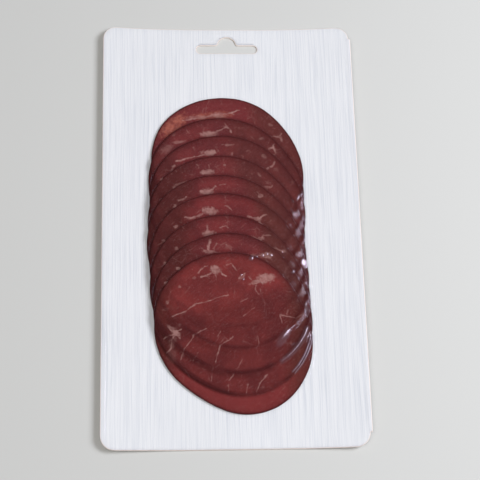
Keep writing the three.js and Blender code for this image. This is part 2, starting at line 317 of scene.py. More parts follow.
class Sheet:
    """A node tree that is being drawn up."""

    def __init__(self, tree):
        self.tree = tree

    def node(self, kind, settings=None, sockets=None, output=0):
        """Adds a node. Its settings are set first, then its sockets get values or links."""
        made = self.tree.nodes.new(kind)
        for name, value in (settings or {}).items():
            setattr(made, name, value)
        for key, value in (sockets or {}).items():
            if isinstance(value, Wire):
                self.tree.links.new(value.socket, made.inputs[key])
            else:
                made.inputs[key].default_value = value
        return Wire(self, made.outputs[output])

    def maths(self, operation, *values):
        """A Math node, or a Vector Math node if any value is a vector."""
        if any(isinstance(value, Wire) and value.socket.type == "VECTOR" for value in values):
            return self.vector(operation, *values)
        return self.node("ShaderNodeMath", {"operation": operation}, dict(enumerate(values)))

    def vector(self, operation, *values):
        """A Vector Math node. Plain numbers stand for all three parts."""
        sockets = {}
        for place, value in enumerate(values):
            sockets[place] = (value, value, value) if isinstance(value, (int, float)) else value
        output = 1 if operation in {"LENGTH", "DISTANCE", "DOT_PRODUCT"} else 0
        return self.node("ShaderNodeVectorMath", {"operation": operation}, sockets, output)

    def cosine(self, angle):
        """The cosine of an angle."""
        return self.maths("COSINE", angle)

    def highest(self, *values):
        """The greatest of some numbers."""
        return reduce(lambda first, second: self.maths("MAXIMUM", first, second), values)

    def split(self, vector):
        """The three parts of a vector."""
        x = self.node("ShaderNodeSeparateXYZ", None, {0: vector})
        return x, x.beside("Y"), x.beside("Z")

    def join(self, x, y, z=0.0):
        """A vector from its three parts."""
        return self.node("ShaderNodeCombineXYZ", None, {0: x, 1: y, 2: z})

    def ramp(self, value, low, high, start=0.0, end=1.0):
        """Goes smoothly from start to end while value goes from low to high."""
        return self.node(
            "ShaderNodeMapRange",
            {"interpolation_type": "SMOOTHSTEP"},
            {"Value": value, "From Min": low, "From Max": high, "To Min": start, "To Max": end},
        )

    def noise(self, place, size, detail=3.0, roughness=0.5, output=0):
        """Noise whose grain has this size, in the units of place."""
        sockets = {"Vector": place, "Scale": 1.0 / size, "Detail": detail, "Roughness": roughness}
        return self.node("ShaderNodeTexNoise", None, sockets, output)

    def blend(self, factor, first, second, mode="MIX"):
        """Mixes two colours."""
        settings = {"data_type": "RGBA", "blend_type": mode}
        return self.node("ShaderNodeMix", settings, {0: factor, 6: rgba(first), 7: rgba(second)}, 2)

    def attribute(self, name, output="Fac"):
        """A named attribute of the mesh, in a material."""
        settings = {"attribute_type": "GEOMETRY", "attribute_name": name}
        return self.node("ShaderNodeAttribute", settings, None, output)

    def group(self, tree, output, sockets):
        """One output of a node group."""
        return self.node("GeometryNodeGroup", {"node_tree": tree}, sockets, output)

    def deliver(self, **outputs):
        """Links wires to the outputs of this tree, and gives the tree."""
        exit_node = self.tree.nodes.new("NodeGroupOutput")
        for name, wire in outputs.items():
            self.tree.links.new(wire.socket, exit_node.inputs[name])
        return self.tree


def linear(*levels):
    """A colour given as the 0 to 255 levels of a picture, as the linear colour that shaders use."""
    shares = [level / 255 for level in levels]
    return tuple(s / 12.92 if s <= 0.04045 else ((s + 0.055) / 1.055) ** 2.4 for s in shares)


def colour(name, description, *levels):
    """A colour that the user can change."""
    return FloatVectorProperty(
        name=name, description=description, subtype="COLOR", size=3, min=0, max=1, default=linear(*levels)
    )


def length(name, description, default):
    """A length in metres that the user can change."""
    return FloatProperty(name=name, description=description, default=default, unit="LENGTH", precision=5)


def place(name, description, *default):
    """A place in metres that the user can change."""
    return FloatVectorProperty(
        name=name, description=description, default=default, subtype="XYZ", unit="LENGTH", precision=5
    )


def factor(name, description, default):
    """A share from 0 to 1 that the user can change."""
    return FloatProperty(name=name, description=description, default=default, min=0, max=1, subtype="FACTOR")


def power(name, description, default):
    """A light's power in watts that the user can change."""
    return FloatProperty(name=name, description=description, default=default, min=0, unit="POWER")


class CardSettings(PropertyGroup):
    """Sizes and colours of the card."""

    flat_half_width: length("Flat half width", "Half of the strip that lies flat", 14 * MM)
    curl_rise: length("Curl rise", "How far the long edges lift", 3.6 * MM)
    thickness: length("Thickness", "Thickness of the board", 0.7 * MM)
    corner_radius: length("Corner radius", "Radius of the four corners", 7 * MM)
    corner_step: length("Corner step", "Step at the right-hand corners", 1.1 * MM)
    hole_centre_x: length("Hole centre", "Middle of the hang hole, across the card", -0.3 * MM)
    hole_bottom_y: length("Hole bottom", "Lower side of the hang hole", 98.5 * MM)
    hole_width: length("Hole width", "Width of the hang hole's bar", 32 * MM)
    hole_height: length("Hole height", "Height of the hang hole's bar", 4.5 * MM)
    dome_radius: length("Dome radius", "Radius of the dome over the bar", 4.7 * MM)
    dome_centre_y: length("Dome centre", "Middle of the dome, along the card", 103.1 * MM)
    dome_fillet: length("Dome fillet", "Radius where the dome meets the bar", 1.8 * MM)
    edge_softness: length("Edge softness", "How far the cut rounds the board's edges", 0.3 * MM)
    print_colour: colour("Print", "Main colour of the printed side", 236, 237, 239)
    grain_colour: colour("Grain", "Colour of the wood grain lines", 213, 216, 222)
    core_colour: colour("Core", "Colour of the cut edges", 255, 240, 228)
    back_colour: colour("Back", "Colour of the unprinted back", 222, 219, 212)


class SliceSettings(PropertyGroup):
    """Sizes and colours of the beef slices."""

    radius: length("Radius", "Mean radius of a slice", 39 * MM)
    thickness: length("Thickness", "Thickness of a slice", 1.3 * MM)
    gap: length("Gap", "Space between neighbouring layers", 0.1 * MM)
    sag_length: length("Sag length", "Distance over which a slice comes down", 1.3 * MM)
    rim_rounding: length("Rim rounding", "How far in the rim is rounded", 0.7 * MM)
    unevenness: length("Unevenness", "How far the outline wanders", 0.35 * MM)
    swell: length("Swell", "Height of the unevenness of the faces", 0.16 * MM)
    spokes: IntProperty(name="Spokes", description="Points round a slice", default=300, min=24)
    rings: IntProperty(name="Rings", description="Rings across a slice", default=66, min=8)
    lean_colour: colour("Lean", "Main colour of the lean meat", 106, 46, 48)
    bright_colour: colour("Bright lean", "Lean meat with only the card under it", 116, 49, 51)
    smoke_colour: colour("Smoked rim", "Colour of the smoked rim", 66, 25, 26)
    # The flank colours stand for the crowded smoked rims and painted shade there
    flank_colour: colour("Left flank", "Colour towards the left side", 70, 34, 31)
    right_flank_colour: colour("Right flank", "Colour towards the right side", 78, 47, 41)
    fat_colour: colour("Fat", "Colour of the fat marks", 172, 130, 124)
    cure_colour: colour("Cure stain", "Orange brown stain on the first slice", 170, 98, 82)


class FilmSettings(PropertyGroup):
    """Sizes and gloss of the clear film."""

    thickness: length("Thickness", "Thickness of the film", 0.15 * MM)
    sag_length: length("Sag length", "Distance over which the film comes down", 1.3 * MM)
    mesh_step: length("Mesh step", "Spacing of the film's points over the pile", 0.75 * MM)
    mesh_reach: length("Mesh reach", "How far past the pile the fine points go", 2.5 * MM)
    flank_ripple: length("Flank ripple", "Height of the ripples beside the pile", 0.12 * MM)
    fold_step: length("Fold step", "Spacing of the film's points round its folds", 0.3 * MM)
    gloss_roughness: factor("Roughness", "Roughness of the gloss", 0.06)
    fold_roughness: factor("Fold roughness", "Roughness on the folds", 0.3)
    straight_gloss: factor("Straight gloss", "Share of gloss where the film is seen straight on", 0.006)
    grazing_gloss: factor("Grazing gloss", "Share of gloss added at a grazing angle", 0.3)
    fold_gloss: factor("Fold gloss", "Share of soft gloss on the folds", 0.06)


class StageSettings(PropertyGroup):
    """Floor, lights and camera."""

    floor_half_width: length("Floor half width", "Half of the floor's side", 3.0)
    floor_colour: colour("Floor", "Colour of the floor", 205, 205, 204)
    key_place: place("Key place", "Where the key light hangs", 0.66, 0.03, 0.75)
    key_size: length("Key size", "Side of the key light", 0.42)
    key_power: power("Key power", "Power of the key light", 8.0)
    fill_place: place("Fill place", "Where the fill light hangs", -0.5, -0.5, 1.9)
    fill_size: length("Fill size", "Side of the fill light", 1.4)
    fill_power: power("Fill power", "Power of the fill light", 16.5)
    world_strength: factor("World", "Strength of the light from all round", 0.2)
    camera_place: place("Camera", "Where the camera stands", -0.03662, -0.24646, 0.65979)
    camera_target: place("Target", "Where the camera looks", 0.00407, -0.00623, 0.0007)
    camera_roll: FloatProperty(
        name="Roll", description="Turn of the camera about its axis", subtype="ANGLE",
        default=math.radians(-1.55),
    )
    lens: FloatProperty(name="Lens", description="Focal length in mm", default=105.0, unit="CAMERA")


def settings():
    """The four groups of settings of the scene."""
    scene = bpy.context.scene
    return scene.beef_card, scene.beef_slices, scene.beef_film, scene.beef_stage


def roast_radius(angle, bulge, dent, cosine):
    """Radius of a slice's outline at an angle, for plain numbers, arrays and wires."""
    towards_right = (cosine(angle) + 1.0) * 0.5
    towards_dent = (cosine(angle - math.radians(DENT_DIRECTION)) + 1.0) * 0.5
    radius = (towards_right ** BULGE_SHARPNESS) * bulge + bpy.context.scene.beef_slices.radius
    radius = radius - (towards_dent ** DENT_SHARPNESS) * dent
    for count, height, direction in ROAST_WAVES:
        radius = cosine((angle - math.radians(direction)) * count) * (height * MM) + radius
    return radius


def slice_places():
    """Centre, bulge and dent of each slice, from the box of its solid and the shape of the roast."""
    angles = np.linspace(0, 2 * math.pi, 720, endpoint=False)
    places = []
    for name, bulge, dent in zip(SLICE_NODES, MARGIN_BULGES, MARGIN_DENTS):
        radii = roast_radius(angles, bulge * MM, 0.0, np.cos)
        _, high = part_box(name)
        centre_x = high[0] - float((radii * np.cos(angles)).max())
        centre_y = high[1] - float((radii * np.sin(angles)).max())
        places.append((centre_x, centre_y, bulge * MM, dent * MM))
    return places


def new_group(name, inputs, outputs):
    """A node group as a sheet, and its inputs as wires."""
    tree = bpy.data.node_groups.new(name, "GeometryNodeTree")
    tree.is_modifier = "Geometry" in outputs
    for labels, direction in ((inputs, "INPUT"), (outputs, "OUTPUT")):
        for label in labels:
            kind = SOCKET_KINDS.get(label, "NodeSocketFloat")
            tree.interface.new_socket(label, in_out=direction, socket_type=kind)
    sheet = Sheet(tree)
    entry = tree.nodes.new("NodeGroupInput")
    return sheet, [Wire(sheet, entry.outputs[label]) for label in inputs]


def curl_group():
    """Height of the card's underside at a distance from its middle line."""
    card = bpy.context.scene.beef_card
    sheet, (x,) = new_group("Card curl", ["X"], ["Rise"])
    past = sheet.highest(sheet.maths("ABSOLUTE", x) - card.flat_half_width, 0.0)
    share = past / (CARD_HIGH[0] - card.flat_half_width)
    return sheet.deliver(Rise=share * share * card.curl_rise)


def pile_group():
    """What there is at a place for a slice that has as many slices under it as Below says.

    Layers is how many of them lie there, with a soft step past each rim. The second output is how near
    their rims are, for those rims and the painted shade at their steps to show through, and the third
    is the painted shadow under the rims of the slices on top of this one.
    """
    sheet, (x, y, below, sag_length) = new_group(
        "Pile of slices", ["X", "Y", "Below", "Sag length"], ["Layers", "Rims", "Contact"]
    )
    layers, rims, contact = 0.0, 0.0, 0.0
    places = slice_places()
    for order in range(len(places), 0, -1):
        centre_x, centre_y, bulge, dent = places[order - 1]
        along_x, along_y = x - centre_x, y - centre_y
        reach = roast_radius(sheet.maths("ARCTAN2", along_y, along_x), bulge, dent, sheet.cosine)
        outside = sheet.vector("LENGTH", sheet.join(along_x, along_y)) - reach
        counted = sheet.maths("GREATER_THAN", below, order - 0.5)
        above = sheet.maths("LESS_THAN", below, order - 1.5)
        nearness = sheet.maths("EXPONENT", -((outside / RIM_WIDTH) ** 2.0))
        # Rims below, which show through with painted shade at their steps
        rims = nearness * counted * sheet.ramp(layers, 0.0, HIDING_LAYERS, 1.0, 0.0) + rims
        step_end = sag_length * (layers + 1.0) + STEP_START
        layers = sheet.ramp(outside, STEP_START, step_end, 1.0, 0.0) * counted + layers
        # Painted shadow on this slice under the rims of the slices on top of it
        contact = sheet.highest(sheet.ramp(outside, *CONTACT_SPAN, 1.0, 0.0) * above, contact)
    return sheet.deliver(Layers=layers, Rims=rims, Contact=contact)


def store(sheet, geometry, **values):
    """Keeps values on the points of a geometry."""
    for name, value in values.items():
        kind = "FLOAT_VECTOR" if value.socket.type == "VECTOR" else "FLOAT"
        geometry = sheet.node(
            "GeometryNodeStoreNamedAttribute", {"data_type": kind, "domain": "POINT"},
            {"Geometry": geometry, "Name": name, "Value": value},
        )
    return geometry


def move(sheet, geometry, **sockets):
    """Moves the points of a geometry to a Position or by an Offset."""
    return sheet.node("GeometryNodeSetPosition", None, {"Geometry": geometry, **sockets})


def close_shape(sheet, geometry, *looks):
    """Ends a geometry tree: smooth, realized, and with its materials set.

    A look is a material and the attribute that marks its faces, or None for all faces.
    """
    smooth = sheet.node("GeometryNodeSetShadeSmooth", None, {"Geometry": geometry})
    shape = sheet.node("GeometryNodeRealizeInstances", None, {"Geometry": smooth})
    for material, marked in looks:
        sockets = {"Geometry": shape, "Material": material}
        if marked:
            sockets["Selection"] = sheet.node(
                "GeometryNodeInputNamedAttribute", {"data_type": "BOOLEAN"}, {"Name": marked}
            )
        shape = sheet.node("GeometryNodeSetMaterial", None, sockets)
    return sheet.deliver(Geometry=shape)


def add_object(name, data):
    """An object of the scene, at the origin."""
    added = bpy.data.objects.new(name, data)
    bpy.context.scene.collection.objects.link(added)
    return added


def grow(name, mesh, tree, values):
    """Runs a mesh through a geometry tree, and keeps the result as a plain object of that name."""
    start = add_object(name + "_start", mesh)
    modifier = start.modifiers.new("Shape", "NODES")
    modifier.node_group = tree
    for item in tree.interface.items_tree:
        if item.in_out == "INPUT" and item.name in values:
            modifier[item.identifier] = values[item.name]
    graph = bpy.context.evaluated_depsgraph_get()
    result = bpy.data.meshes.new_from_object(start.evaluated_get(graph), depsgraph=graph)
    bpy.data.objects.remove(start)
    result.name = name
    return add_object(name, result)


def arc(centre, radius, start, end, step=0.5 * MM):
    """Points of an arc, angles in degrees, without its last point."""
    count = max(3, round(abs(math.radians(end - start)) * radius / step))
    turns = np.radians(np.linspace(start, end, count, endpoint=False))
    return [(centre[0] + radius * math.cos(t), centre[1] + radius * math.sin(t)) for t in turns]


def line(start, end, step=1.2 * MM):
    """Points of a straight line, without its last point."""
    count = max(1, round(math.dist(start, end) / step))
    shares = np.linspace(0, 1, count, endpoint=False)
    return [(start[0] + (end[0] - start[0]) * s, start[1] + (end[1] - start[1]) * s) for s in shares]


def card_outline():
    """The card's outline, anticlockwise, with the step at both right-hand corners."""
    card = bpy.context.scene.beef_card
    right, top = CARD_HIGH[0], CARD_HIGH[1]
    radius = card.corner_radius
    arc_x, arc_y = right - radius, top - radius
    step_x = arc_x - card.corner_step
    return [
        *line((right, -arc_y), (right, arc_y)),
        *line((right, arc_y), (step_x + radius, arc_y), 0.4 * MM),
        *arc((step_x, arc_y), radius, 0, 90),
        *line((step_x, top), (-arc_x, top)),
        *arc((-arc_x, arc_y), radius, 90, 180),
        *line((-right, arc_y), (-right, -arc_y)),
        *arc((-arc_x, -arc_y), radius, 180, 270),
        *line((-arc_x, -top), (step_x, -top)),
        *arc((step_x, -arc_y), radius, 270, 360),
        *line((step_x + radius, -arc_y), (right, -arc_y), 0.4 * MM),
    ]


def hole_outline():
    """The hang hole's outline, anticlockwise."""
    card = bpy.context.scene.beef_card
    centre_x, bottom_y = card.hole_centre_x, card.hole_bottom_y
    end_radius = card.hole_height / 2
    end_x = card.hole_width / 2 - end_radius
    middle_y = bottom_y + end_radius
    top_y = bottom_y + card.hole_height
    fillet_y = top_y + card.dome_fillet
    reach = card.dome_radius + card.dome_fillet
    fillet_x = math.sqrt(reach ** 2 - (fillet_y - card.dome_centre_y) ** 2)
    lean = math.degrees(math.atan2(fillet_y - card.dome_centre_y, fillet_x))
    fine, coarse = 0.3 * MM, 0.8 * MM
    return [
        *line((centre_x - end_x, bottom_y), (centre_x + end_x, bottom_y), coarse),
        *arc((centre_x + end_x, middle_y), end_radius, -90, 90, fine),
        *line((centre_x + end_x, top_y), (centre_x + fillet_x, top_y), coarse),
        *arc((centre_x + fillet_x, fillet_y), card.dome_fillet, 270, 180 + lean, fine),
        *arc((centre_x, card.dome_centre_y), card.dome_radius, lean, 180 - lean, fine),
        *arc((centre_x - fillet_x, fillet_y), card.dome_fillet, -lean, -90, fine),
        *line((centre_x - fillet_x, top_y), (centre_x - end_x, top_y), coarse),
        *arc((centre_x - end_x, middle_y), end_radius, 90, 270, fine),
    ]


def shifted(loop, distance):
    """A closed loop moved to its own left by a distance."""
    points = np.array(loop)
    ahead = np.roll(points, -1, axis=0) - np.roll(points, 1, axis=0)
    ahead /= np.linalg.norm(ahead, axis=1, keepdims=True)
    return points + distance * np.column_stack((-ahead[:, 1], ahead[:, 0]))


def within(points, loop):
    """Whether each point lies inside a closed loop, by how often its level line crosses the loop."""
    odd = np.zeros(len(points), bool)
    for start, end in zip(loop, np.roll(loop, -1, axis=0)):
        level = (start[1] > points[:, 1]) != (end[1] > points[:, 1])
        rise = end[1] - start[1]
        crossing = start[0] + (points[:, 1] - start[1]) * (end[0] - start[0]) / (rise or 1.0)
        odd ^= level & (points[:, 0] < crossing)
    return odd


def plate(name, edge_profile, inner):
    """A closed flat plate of the card's outline, with the hang hole and more points inside.

    edge_profile lists how far in from the outline and how high the rounds of its edge lie, from the
    underside to the top. Its first and last distance are the same.
    """
    outer, hole = card_outline(), hole_outline()
    rounds = []
    for inset, height in edge_profile:
        flat = np.vstack((shifted(outer, inset), shifted(hole, -inset)))
        rounds.append(np.column_stack((flat, np.full(len(flat), height))))
    size, split = len(rounds[0]), len(outer)
    flat = np.vstack((rounds[0][:, :2], inner))
    edges = [(i, (i + 1) % split) for i in range(split)]
    edges += [(split + i, split + (i + 1) % (size - split)) for i in range(size - split)]
    found, _, triangles, *_ = delaunay_2d_cdt([Vector(p) for p in flat], edges, [], 0, 1e-7, False)
    if len(found) != len(flat):
        raise RuntimeError("the plate's points meet")
    triangles = np.array(triangles)
    middles = flat[triangles].mean(axis=1)
    kept = within(middles, rounds[0][:split, :2]) & ~within(middles, rounds[0][split:, :2])

    low, high = (
        np.column_stack((inner, np.full(len(inner), edge_profile[end][1]))) for end in (0, -1)
    )
    points = np.vstack((*rounds, low, high))
    low_start = size * len(rounds)
    high_start = low_start + len(inner)
    top_shift = size * (len(rounds) - 1)
    faces, sides = [], []
    for triangle in triangles[kept].tolist():
        under = [i if i < size else low_start + i - size for i in triangle]
        over = [i + top_shift if i < size else high_start + i - size for i in triangle]
        faces += [under[::-1], over]
        sides += ["back", "front"]
    for base in range(0, top_shift, size):
        for start, end in edges:
            quad = (base + start, base + end, base + size + end, base + size + start)
            faces.append(quad if start < split else quad[::-1])
            sides.append("edge")
    mesh = bpy.data.meshes.new(name)
    mesh.from_pydata(points.tolist(), [], faces)
    for side in ("front", "back"):
        marks = mesh.attributes.new(side, "BOOLEAN", "FACE")
        marks.data.foreach_set("value", [s == side for s in sides])
    mesh.validate()
    return mesh


def grid_points(low, high, step):
    """Points of an even grid between two corners."""
    xs = np.arange(low[0], high[0], step)
    ys = np.arange(low[1], high[1], step)
    return np.array([(x, y) for x in xs for y in ys])


def near_any(points, spots, distance):
    """Whether each point lies nearer than this distance to one of the spots."""
    near = np.zeros(len(points), bool)
    for spot in spots:
        near |= np.hypot(*(points - spot).T) < distance
    return near


def clear_of_edges(points, distance):
    """The points that lie on the card, at least this far from its outline and its hole."""
    rims = np.array(card_outline() + hole_outline())
    low, high = rims.min(axis=0), rims.max(axis=0)
    inside = np.all((points > low + distance) & (points < high - distance), axis=1)
    points = points[inside]
    return points[~near_any(points, rims, distance)]


def new_material(name):
    """A material with an empty tree, and the tree as a sheet."""
    material = bpy.data.materials.new(name)
    material.use_nodes = True
    material.node_tree.nodes.clear()
    return material, Sheet(material.node_tree)


def show(sheet, shader):
    """Ends a material tree with this shader."""
    output = sheet.tree.nodes.new("ShaderNodeOutputMaterial")
    sheet.tree.links.new(shader.socket, output.inputs["Surface"])


def principled(sheet, base_colour, roughness, normal=None, **constants):
    """A Principled shader with its varying inputs linked and its constants set on its own sockets."""
    sockets = {"Base Color": rgba(base_colour), "Roughness": roughness}
    if normal is not None:
        sockets["Normal"] = normal
    sockets.update({name.replace("_", " "): value for name, value in constants.items()})
    return sheet.node("ShaderNodeBsdfPrincipled", None, sockets)


def bump(sheet, height, strength, distance):
    """A Bump node over a height in units of distance."""
    return sheet.node("ShaderNodeBump", None, {"Height": height, "Strength": strength, "Distance": distance})


def object_millimetres(sheet):
    """Object coordinates in millimetres."""
    return sheet.vector("MULTIPLY", sheet.node("ShaderNodeTexCoord", None, None, "Object"), 1 / MM)


def print_material(card):
    """White print with fine upright wood grain, satin under the film."""
    material, sheet = new_material("printed white grain")
    x, y, _ = sheet.split(object_millimetres(sheet))
    across = x + sheet.noise(sheet.join(x * 0.05, y * 0.012), 1.0, 2.0) * 3.0
    fine = sheet.noise(sheet.join(across * 1.3, y * 0.010, 3.0), 1.0, 3.0, 0.6)
    broad = sheet.noise(sheet.join(across * 0.33, y * 0.006, 8.0), 1.0, 2.0)
    pores = sheet.noise(sheet.join(across * 2.6, y * 0.028, 15.0), 1.0, 2.0)
    share = sheet.ramp(fine, 0.42, 0.68) * 0.5 + sheet.ramp(broad, 0.48, 0.75) * 0.2
    share = share + sheet.ramp(pores, 0.48, 0.68) * 0.6
    shade = sheet.blend(share, card.print_colour, card.grain_colour)
    relief = bump(sheet, fine, 0.15, 0.02 * MM)
    show(sheet, principled(sheet, shade, share * 0.10 + 0.46, relief))
    return material


def board_material(name, base_colour, speck):
    """Bare board with faint paper fibres."""
    material, sheet = new_material(name)
    spot = object_millimetres(sheet)
    fibres = sheet.noise(spot * (1.0, 0.35, 1.0), 0.5, 4.0, 0.6)
    clouds = sheet.noise(spot, 14.0, 2.0)
    share = sheet.ramp(fibres, 0.35, 0.75) * speck + sheet.ramp(clouds, 0.3, 0.8) * speck * 0.5
    shade = sheet.blend(share, base_colour, [part * 0.82 for part in base_colour])
    relief = bump(sheet, fibres, 0.3, 0.03 * MM)
    show(sheet, principled(sheet, shade, fibres * 0.1 + 0.75, relief))
    return material


def ellipse_square(sheet, spot, x, y, half_length, half_width, turn):
    """Square of how far out a spot lies in a turned ellipse: 0 in its middle and 1 on its edge."""
    cosine, sine = math.cos(math.radians(turn)), math.sin(math.radians(turn))
    offset = sheet.vector("SUBTRACT", spot, (x, y, 0.0))
    along = sheet.vector("DOT_PRODUCT", offset, (cosine / half_length, sine / half_length, 0.0))
    across = sheet.vector("DOT_PRODUCT", offset, (-sine / half_width, cosine / half_width, 0.0))
    return along ** 2.0 + across ** 2.0


def patch_share(sheet, spot, patch, ragged):
    """How much a patch covers a spot. Ragged is how far its edge wanders there."""
    *ellipse, strength = patch
    return sheet.ramp(ellipse_square(sheet, spot, *ellipse) ** 0.5 + ragged, 0.6, 1.35, strength, 0.0)


def strand_share(sheet, spot, strand, broken):
    """How much a strand of fat covers a spot. Broken is how much of its width is left there."""
    width, strength, *points = strand
    nearest = None
    for start, end in zip(points, points[1:]):
        run = (end[0] - start[0], end[1] - start[1], 0.0)
        square = run[0] ** 2 + run[1] ** 2
        offset = sheet.vector("SUBTRACT", spot, (*start, 0.0))
        share = sheet.vector("DOT_PRODUCT", offset, (run[0] / square, run[1] / square, 0.0))
        held = sheet.node("ShaderNodeClamp", None, {"Value": share})
        foot = sheet.node("ShaderNodeVectorMath", {"operation": "SCALE"}, {0: run, "Scale": held})
        distance = sheet.vector("DISTANCE", offset, foot)
        nearest = distance if nearest is None else sheet.maths("MINIMUM", nearest, distance)
    return sheet.ramp(nearest / broken, width * 0.3, width * 1.1, 1.0, 0.0) * (broken * strength)


def beef_material(order, slices):
    """Smoked beef of one slice: lean meat, smoked rim, marbling and its own marks of fat."""
    material, sheet = new_material(f"smoked beef {order}")
    rim_depth, layers, rims, contact = (
        sheet.attribute(name) for name in ("rim_depth", "layers_below", "rims_below", "contact")
    )
    x, y, _ = sheet.split(sheet.attribute("slice_plan", "Vector"))

    # The muscle changes slowly from slice to slice, and its fine grain fast
    grain_level = order * 37.0
    muscle = sheet.join(x, y, order * 4.0)
    grain = sheet.join(x, y, grain_level)
    spot = sheet.join(x, y)
    for field, size, sway in ((muscle, 5.0, 2.2), (grain, 1.1, 1.1)):
        warp = sheet.vector("SUBTRACT", sheet.noise(field, size, 2.0, output=1), 0.5)
        spot = spot + warp * (sway, sway, 0.0)
    clouds = sheet.noise(muscle, 11.0, 2.0)
    mottle = sheet.noise(grain, 2.2, 3.0, 0.6)
    slant = sheet.join(x * 0.87 + y * 0.5, (y * 0.87 - x * 0.5) * 0.4, grain_level)
    fibres = sheet.noise(slant, 0.8, 4.0, 0.65)
    ragged = (sheet.noise(grain, 1.3, 3.0, 0.6) - 0.5) * 1.6
    breaks = sheet.noise(sheet.join(x, y, grain_level + 9.0), 2.4, 3.0, 0.6)
    broken = sheet.ramp(breaks, 0.3, 0.6, 0.55, 1.35)

    red, green, blue = slices.lean_colour
    lean = (red * REDNESS[order - 1], green, blue)
    deep, rosy = ([part * share for part, share in zip(lean, tone)] for tone in LEAN_TONES)
    shade = sheet.blend(sheet.ramp(clouds, 0.35, 0.65), deep, rosy)
    shade = sheet.blend(sheet.ramp(mottle, 0.35, 0.7) * 0.35, shade, lean)
    shade = sheet.blend(sheet.ramp(layers, 0.15, 1.0, 0.8, 0.0), shade, slices.bright_colour)
    if order == 1:
        stains = [patch_share(sheet, spot, patch, ragged * share) for patch, share in CURE_STAINS]
        stain = sheet.highest(*stains) * sheet.ramp(mottle, 0.33, 0.66, 0.3, 0.85)
        shade = sheet.blend(stain, shade, slices.cure_colour)

    # Thin pale lines between the bundles of muscle
    cells = sheet.node(
        "ShaderNodeTexVoronoi", {"feature": "DISTANCE_TO_EDGE"},
        {"Vector": spot * (0.16, 0.11, 1.0), "Scale": 1.0, "Randomness": 1.0},
    )
    patchy = sheet.ramp(sheet.noise(muscle, 6.0, 2.0), 0.52, 0.68)
    marbling = sheet.ramp(cells, 0.0, 0.035, 0.28, 0.0) * patchy

    # Fine fibres that lean to the right, and small pale flecks
    lie = sheet.join((x + y * 0.7) * 0.22, (y - x * 0.7) * 1.25, grain_level)
    threads = sheet.ramp(sheet.noise(lie, 1.0, 4.0, 0.7), 0.54, 0.74, 0.0, 0.3)
    flecks = sheet.ramp(sheet.noise(grain, 0.75, 2.0), 0.64, 0.74, 0.0, 0.42)

    common = COMMON_PATCHES if order >= FIRST_WITH_COMMON else ()
    marks = [patch_share(sheet, spot, patch, ragged) for patch in (*common, *PATCHES[order])]
    marks += [strand_share(sheet, spot, strand, broken) for strand in STRANDS[order]]
    fat = sheet.highest(marbling, threads, flecks, *marks)

    side = x + (clouds - 0.5) * 8.0
    (left_start, left_share), (right_start, right_share) = FLANKS[order - 1]
    left = sheet.ramp(-side, left_start, left_start + FLANK_WIDTH, 0.0, left_share)
    right = sheet.ramp(side, right_start, right_start + FLANK_WIDTH, 0.0, right_share)
    # Darker towards each flank: partly the crowded smoked rims, partly painted shade
    shade = sheet.blend(left, shade, slices.flank_colour)
    shade = sheet.blend(right, shade, slices.right_flank_colour)
    if order == len(SLICE_NODES):
        # The top slice is lighter on its upper part and darker on its lower part
        low = sheet.ramp(y - x * 0.25, 10.0, 21.0, 1.0, 0.0) * sheet.ramp(layers, 0.2, 1.2, 0.15, 1.0)
        shade = sheet.blend(1.0, shade, sheet.blend(low, *TOP_SLICE_TONES), "MULTIPLY")
    shade = sheet.blend(fat * sheet.ramp(mottle, 0.3, 0.65, 0.5, 1.1) * 0.84, shade, slices.fat_colour)

    # The smoked rim, the rims of lower slices that show through with painted shade at their steps, and a
    # painted shadow under each rim above. The flanks, partly painted shade, are about as dark as these, so
    # all but the lower rims fade into them.
    faded = 1.0 - sheet.highest(left, right * 0.6) * sheet.ramp(layers, 0.5, 1.5)
    wander = rim_depth + (mottle - 0.5) * 1.2
    rim = sheet.ramp(wander, 0.2, 4.6, 0.52, 0.0) * sheet.ramp(layers, 0.1, 1.0, 0.45, 1.0) * faded
    crust = sheet.ramp(wander, 0.2, 1.3, 0.7, 0.0) * faded
    drift = sheet.noise(sheet.join(x, y, order * 5.0 + 2.0), 13.0, 1.0)
    # The smoked rims of lower slices that show through, and painted shade at their steps
    ridges = sheet.maths("MINIMUM", rims * sheet.ramp(drift, 0.36, 0.6, 0.35, 1.15), 0.8)
    # Painted shadow under each rim above
    line_above = contact * sheet.ramp(mottle, 0.3, 0.7, 0.5, 0.8) * faded
    for share in (rim, crust, ridges, line_above):
        shade = sheet.blend(share, shade, slices.smoke_colour)
    light = sheet.ramp(fibres, 0.25, 0.75, 0.88, 1.1)
    shade = sheet.blend(1.0, shade, sheet.join(light, light, light), "MULTIPLY")

    relief = bump(sheet, fibres * 0.5 + mottle * 0.6 + fat * 0.8, 0.35, 0.12 * MM)
    roughness = 0.5 + mottle * 0.12 - fat * 0.08
    show(sheet, principled(sheet, shade, roughness, relief, Specular_IOR_Level=0.02))
    return material


def film_material(film):
    """Clear film: see-through, with a gloss that grows towards grazing light."""
    material, sheet = new_material("clear film")
    ripple = sheet.noise(object_millimetres(sheet), 3.2, 3.0, 0.55)
    relief = bump(sheet, ripple, 0.25, 0.5 * MM)
    fold = sheet.ramp(sheet.attribute("film_fold"), 0.15, 0.6)
    clear = sheet.node("ShaderNodeBsdfTransparent", None, {"Color": (0.985, 0.985, 0.99, 1.0)})
    tint = (0.93, 0.82, 1.0, 1.0)
    gloss, fold_gloss = (
        sheet.node("ShaderNodeBsdfGlossy", None, {"Color": tint, "Roughness": roughness, "Normal": relief})
        for roughness in (film.gloss_roughness, film.fold_roughness)
    )
    facing = sheet.node("ShaderNodeLayerWeight", None, {"Blend": 0.5, "Normal": relief}, "Facing")
    share = facing ** 5.0 * film.grazing_gloss + film.straight_gloss
    flat = sheet.node("ShaderNodeMixShader", None, {0: share, 1: clear, 2: gloss})
    show(sheet, sheet.node("ShaderNodeMixShader", None, {0: fold * film.fold_gloss, 1: flat, 2: fold_gloss}))
    return material


